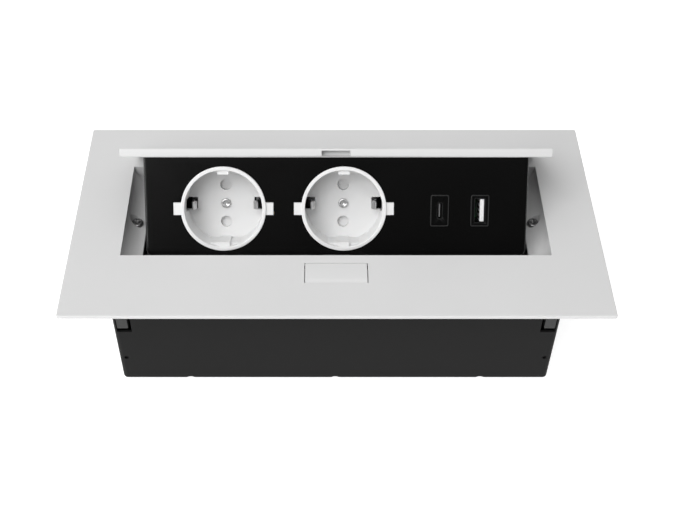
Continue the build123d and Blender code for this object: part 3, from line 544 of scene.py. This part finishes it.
def leaf_contact():
    """One bowed contact strip, standing on its edge with its length into the port."""
    bpy.ops.object.select_all(action="DESELECT")
    bpy.ops.mesh.primitive_cube_add(size=1.0, location=(0, 0, 0))
    leaf = bpy.context.object
    leaf.scale = (leaf_thickness, leaf_width, leaf_length)
    bpy.ops.object.transform_apply(scale=True)
    bpy.ops.object.mode_set(mode="EDIT")
    for level in leaf_cuts:
        bpy.ops.mesh.select_all(action="SELECT")
        bpy.ops.mesh.bisect(plane_co=(0, 0, level * leaf_length), plane_no=(0, 0, 1))
    for half, shift in leaf_bulges:
        reach = half * leaf_length
        pick_faces(leaf, lambda centre, normal: abs(normal.x) > 0.5 and abs(centre.z) < reach)
        bpy.ops.transform.translate(value=(-shift * leaf_bow, 0, 0))
    bpy.ops.mesh.select_all(action="SELECT")
    bpy.ops.mesh.normals_make_consistent(inside=False)
    bpy.ops.object.mode_set(mode="OBJECT")
    edge = leaf.modifiers.new("edge", "BEVEL")
    edge.width = leaf_edge
    edge.limit_method = "ANGLE"
    edge.angle_limit = leaf_sharp_angle
    bpy.ops.object.modifier_apply(modifier=edge.name)
    bpy.ops.object.shade_smooth_by_angle(angle=leaf_smooth_angle)
    return leaf


first_leaf = leaf_contact()
leaf_places = [
    Vector((tongue_left - leaf_thickness / 2, 0, 0))
    + face_up * (tongue_face @ face_up + step * leaf_pitch)
    + face_normal * (tongue_face @ face_normal - leaf_setback - leaf_length / 2)
    for step in (-1.5, -0.5, 0.5, 1.5)
]
for number, place in enumerate(leaf_places, start=1):
    leaf = first_leaf if number == len(leaf_places) else first_leaf.copy()
    if leaf is not first_leaf:
        leaf.data = first_leaf.data.copy()
        bpy.context.scene.collection.objects.link(leaf)
    lay_on_face(leaf, place)
    leaf.name = f"usb_a_leaf_{number}"
    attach(leaf, "module")
    paint(leaf, "dark_shell")
print("leaves", len(leaf_places))

# %% [markdown]
# A cord gland is tightened by hand, so its dome nut has ridges all round. One ridge is a slim block,
# narrowed towards its outer end by an inset and rounded, and a loop sets copies round the nut's axis.

# %% Grip ridges on the gland
ridge_count = 24
gland_points = [vertex.co for vertex in nodes["cable_gland"].data.vertices]
open_angle = radians(42)
gland_axis = Vector((0, cos(open_angle), -sin(open_angle)))
gland_reach = [p @ gland_axis for p in gland_points]
dome_length, dome_radius = 5.6 * mm, 5.8 * mm
dome_start = max(gland_reach) - dome_length
ridge_length, ridge_height, ridge_width = 3.6 * mm, 1.1 * mm, 0.7 * mm
ridge_inset, ridge_rise, ridge_edge = 0.12 * mm, 0.15 * mm, 0.08 * mm
gland_x = (max(p.x for p in gland_points) + min(p.x for p in gland_points)) / 2
side_way = Vector((1, 0, 0))
top_way = gland_axis.cross(side_way)
gland_tops = [p @ top_way for p in gland_points]
gland_line = side_way * gland_x + top_way * ((max(gland_tops) + min(gland_tops)) / 2)


def grip_ridge():
    """One ridge on the bench: length along Z, standing out along X."""
    bpy.ops.object.select_all(action="DESELECT")
    bpy.ops.mesh.primitive_cube_add(size=1.0, location=(0, 0, 0))
    ridge = bpy.context.object
    ridge.scale = (ridge_height, ridge_width, ridge_length)
    bpy.ops.object.transform_apply(scale=True)
    pick_faces(ridge, lambda centre, normal: normal.x > 0.5)
    bpy.ops.mesh.inset(thickness=ridge_inset, depth=ridge_rise)
    bpy.ops.mesh.select_all(action="SELECT")
    bpy.ops.mesh.bevel(offset=ridge_edge, segments=1)
    bpy.ops.object.mode_set(mode="OBJECT")
    bpy.ops.object.shade_smooth_by_angle(angle=sharp_angle)
    return ridge


first_ridge = grip_ridge()
ridges = []
for step in range(ridge_count):
    angle = 2 * pi * step / ridge_count
    outward = side_way * cos(angle) + top_way * sin(angle)
    around = gland_axis.cross(outward)
    turn = Matrix((outward, around, gland_axis)).transposed().to_4x4()
    place = gland_line + gland_axis * (dome_start + ridge_length / 2) + outward * dome_radius
    ridge = bpy.data.objects.new("gland_ridge", first_ridge.data.copy())
    ridge.data.transform(Matrix.Translation(place) @ turn)
    bpy.context.scene.collection.objects.link(ridge)
    ridges.append(ridge)
bpy.data.objects.remove(first_ridge)
bpy.ops.object.select_all(action="DESELECT")
for ridge in ridges:
    ridge.select_set(True)
bpy.context.view_layer.objects.active = ridges[0]
bpy.ops.object.join()
grip = bpy.context.object
grip.name = "gland_grip"
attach(grip, "module")
paint(grip, "black_plastic")
print("gland grip", len(grip.data.polygons), "faces")

# %% [markdown]
# The floor is plain and pale, and the box stands on it on its tray. The floor gives off a little light
# of its own, so that it stays even and the box's shadow stays faint. It carries no pattern.

# %% Lay the floor
floor_size, floor_drop = 60.0, 0.0002
floor_roughness, floor_glow = 0.9, 0.8
bpy.ops.object.select_all(action="DESELECT")
bpy.ops.mesh.primitive_plane_add(size=floor_size, location=(0, 0, -floor_drop))
floor = bpy.context.object
floor.name = "studio_floor"
floor_material = bpy.data.materials.new("studio_floor")
floor_material.use_nodes = True
floor_shader = floor_material.node_tree.nodes["Principled BSDF"]
floor_shader.inputs["Base Color"].default_value = (*grey(0.5), 1)
floor_shader.inputs["Roughness"].default_value = floor_roughness
floor_shader.inputs["Emission Color"].default_value = (1, 1, 1, 1)
floor_shader.inputs["Emission Strength"].default_value = floor_glow
floor.data.materials.append(floor_material)
print("floor at", floor.location.z)

# %% [markdown]
# One big soft light hangs high on the left and a little in front, so the right-hand walls of the cups
# catch it and the lid throws a soft shadow to its right. A low strip on the left draws a bright line
# along the panel's round edge, a faint one on the right lifts the shadows, and a small one low in
# front lays a sheen on the panel.

# %% Hang the lights
box_middle = Vector((0, 0, 0.06))


def softbox(name, place, size, power):
    """A rectangular area light at a place, facing the middle of the box."""
    data = bpy.data.lights.new(name, "AREA")
    data.shape = "RECTANGLE"
    data.size, data.size_y = size
    data.energy = power
    light = bpy.data.objects.new(name, data)
    light.location = place
    light.rotation_euler = (box_middle - Vector(place)).to_track_quat("-Z", "Y").to_euler()
    bpy.context.scene.collection.objects.link(light)


softbox("key_left", (-1.12, -1.30, 2.30), (2.2, 2.2), 62.0)
softbox("fill_right", (1.25, -1.35, 2.10), (1.8, 1.8), 3.0)
softbox("side_strip", (-1.8, -0.75, 0.34), (0.6, 0.8), 11.0)
softbox("panel_sheen", (-0.85, -1.75, 0.78), (0.5, 0.9), 2.4)
print("lights", [light.name for light in bpy.data.lights])

# %% [markdown]
# The sky is pale overhead and dim near the horizon, as under a studio's overhead diffuser, so the
# black panel stays black while the scooped cheeks still get light. A ramp over the height of the view
# direction gives that, with one more stop between its two ends.

# %% Paint the sky
horizon_tone, low_sky_tone, overhead_tone = 0.06, 0.10, 0.95
low_sky_height = 0.45
sky = bpy.data.worlds.new("pale_sky")
sky.use_nodes = True
sky_nodes, sky_links = sky.node_tree.nodes, sky.node_tree.links
direction = sky_nodes.new("ShaderNodeTexCoord")
parts_of_direction = sky_nodes.new("ShaderNodeSeparateXYZ")
brightness = sky_nodes.new("ShaderNodeValToRGB")
brightness.color_ramp.elements[0].color = (*grey(horizon_tone), 1)
brightness.color_ramp.elements[1].color = (*grey(overhead_tone), 1)
low_sky = brightness.color_ramp.elements.new(low_sky_height)
low_sky.color = (*grey(low_sky_tone), 1)
sky_links.new(direction.outputs["Generated"], parts_of_direction.inputs["Vector"])
sky_links.new(parts_of_direction.outputs["Z"], brightness.inputs["Fac"])
sky_links.new(brightness.outputs["Color"], sky_nodes["Background"].inputs["Color"])
bpy.context.scene.world = sky
bpy.context.scene.view_settings.view_transform = "Standard"
print("sky", sky.name)

# %% Import json
import json
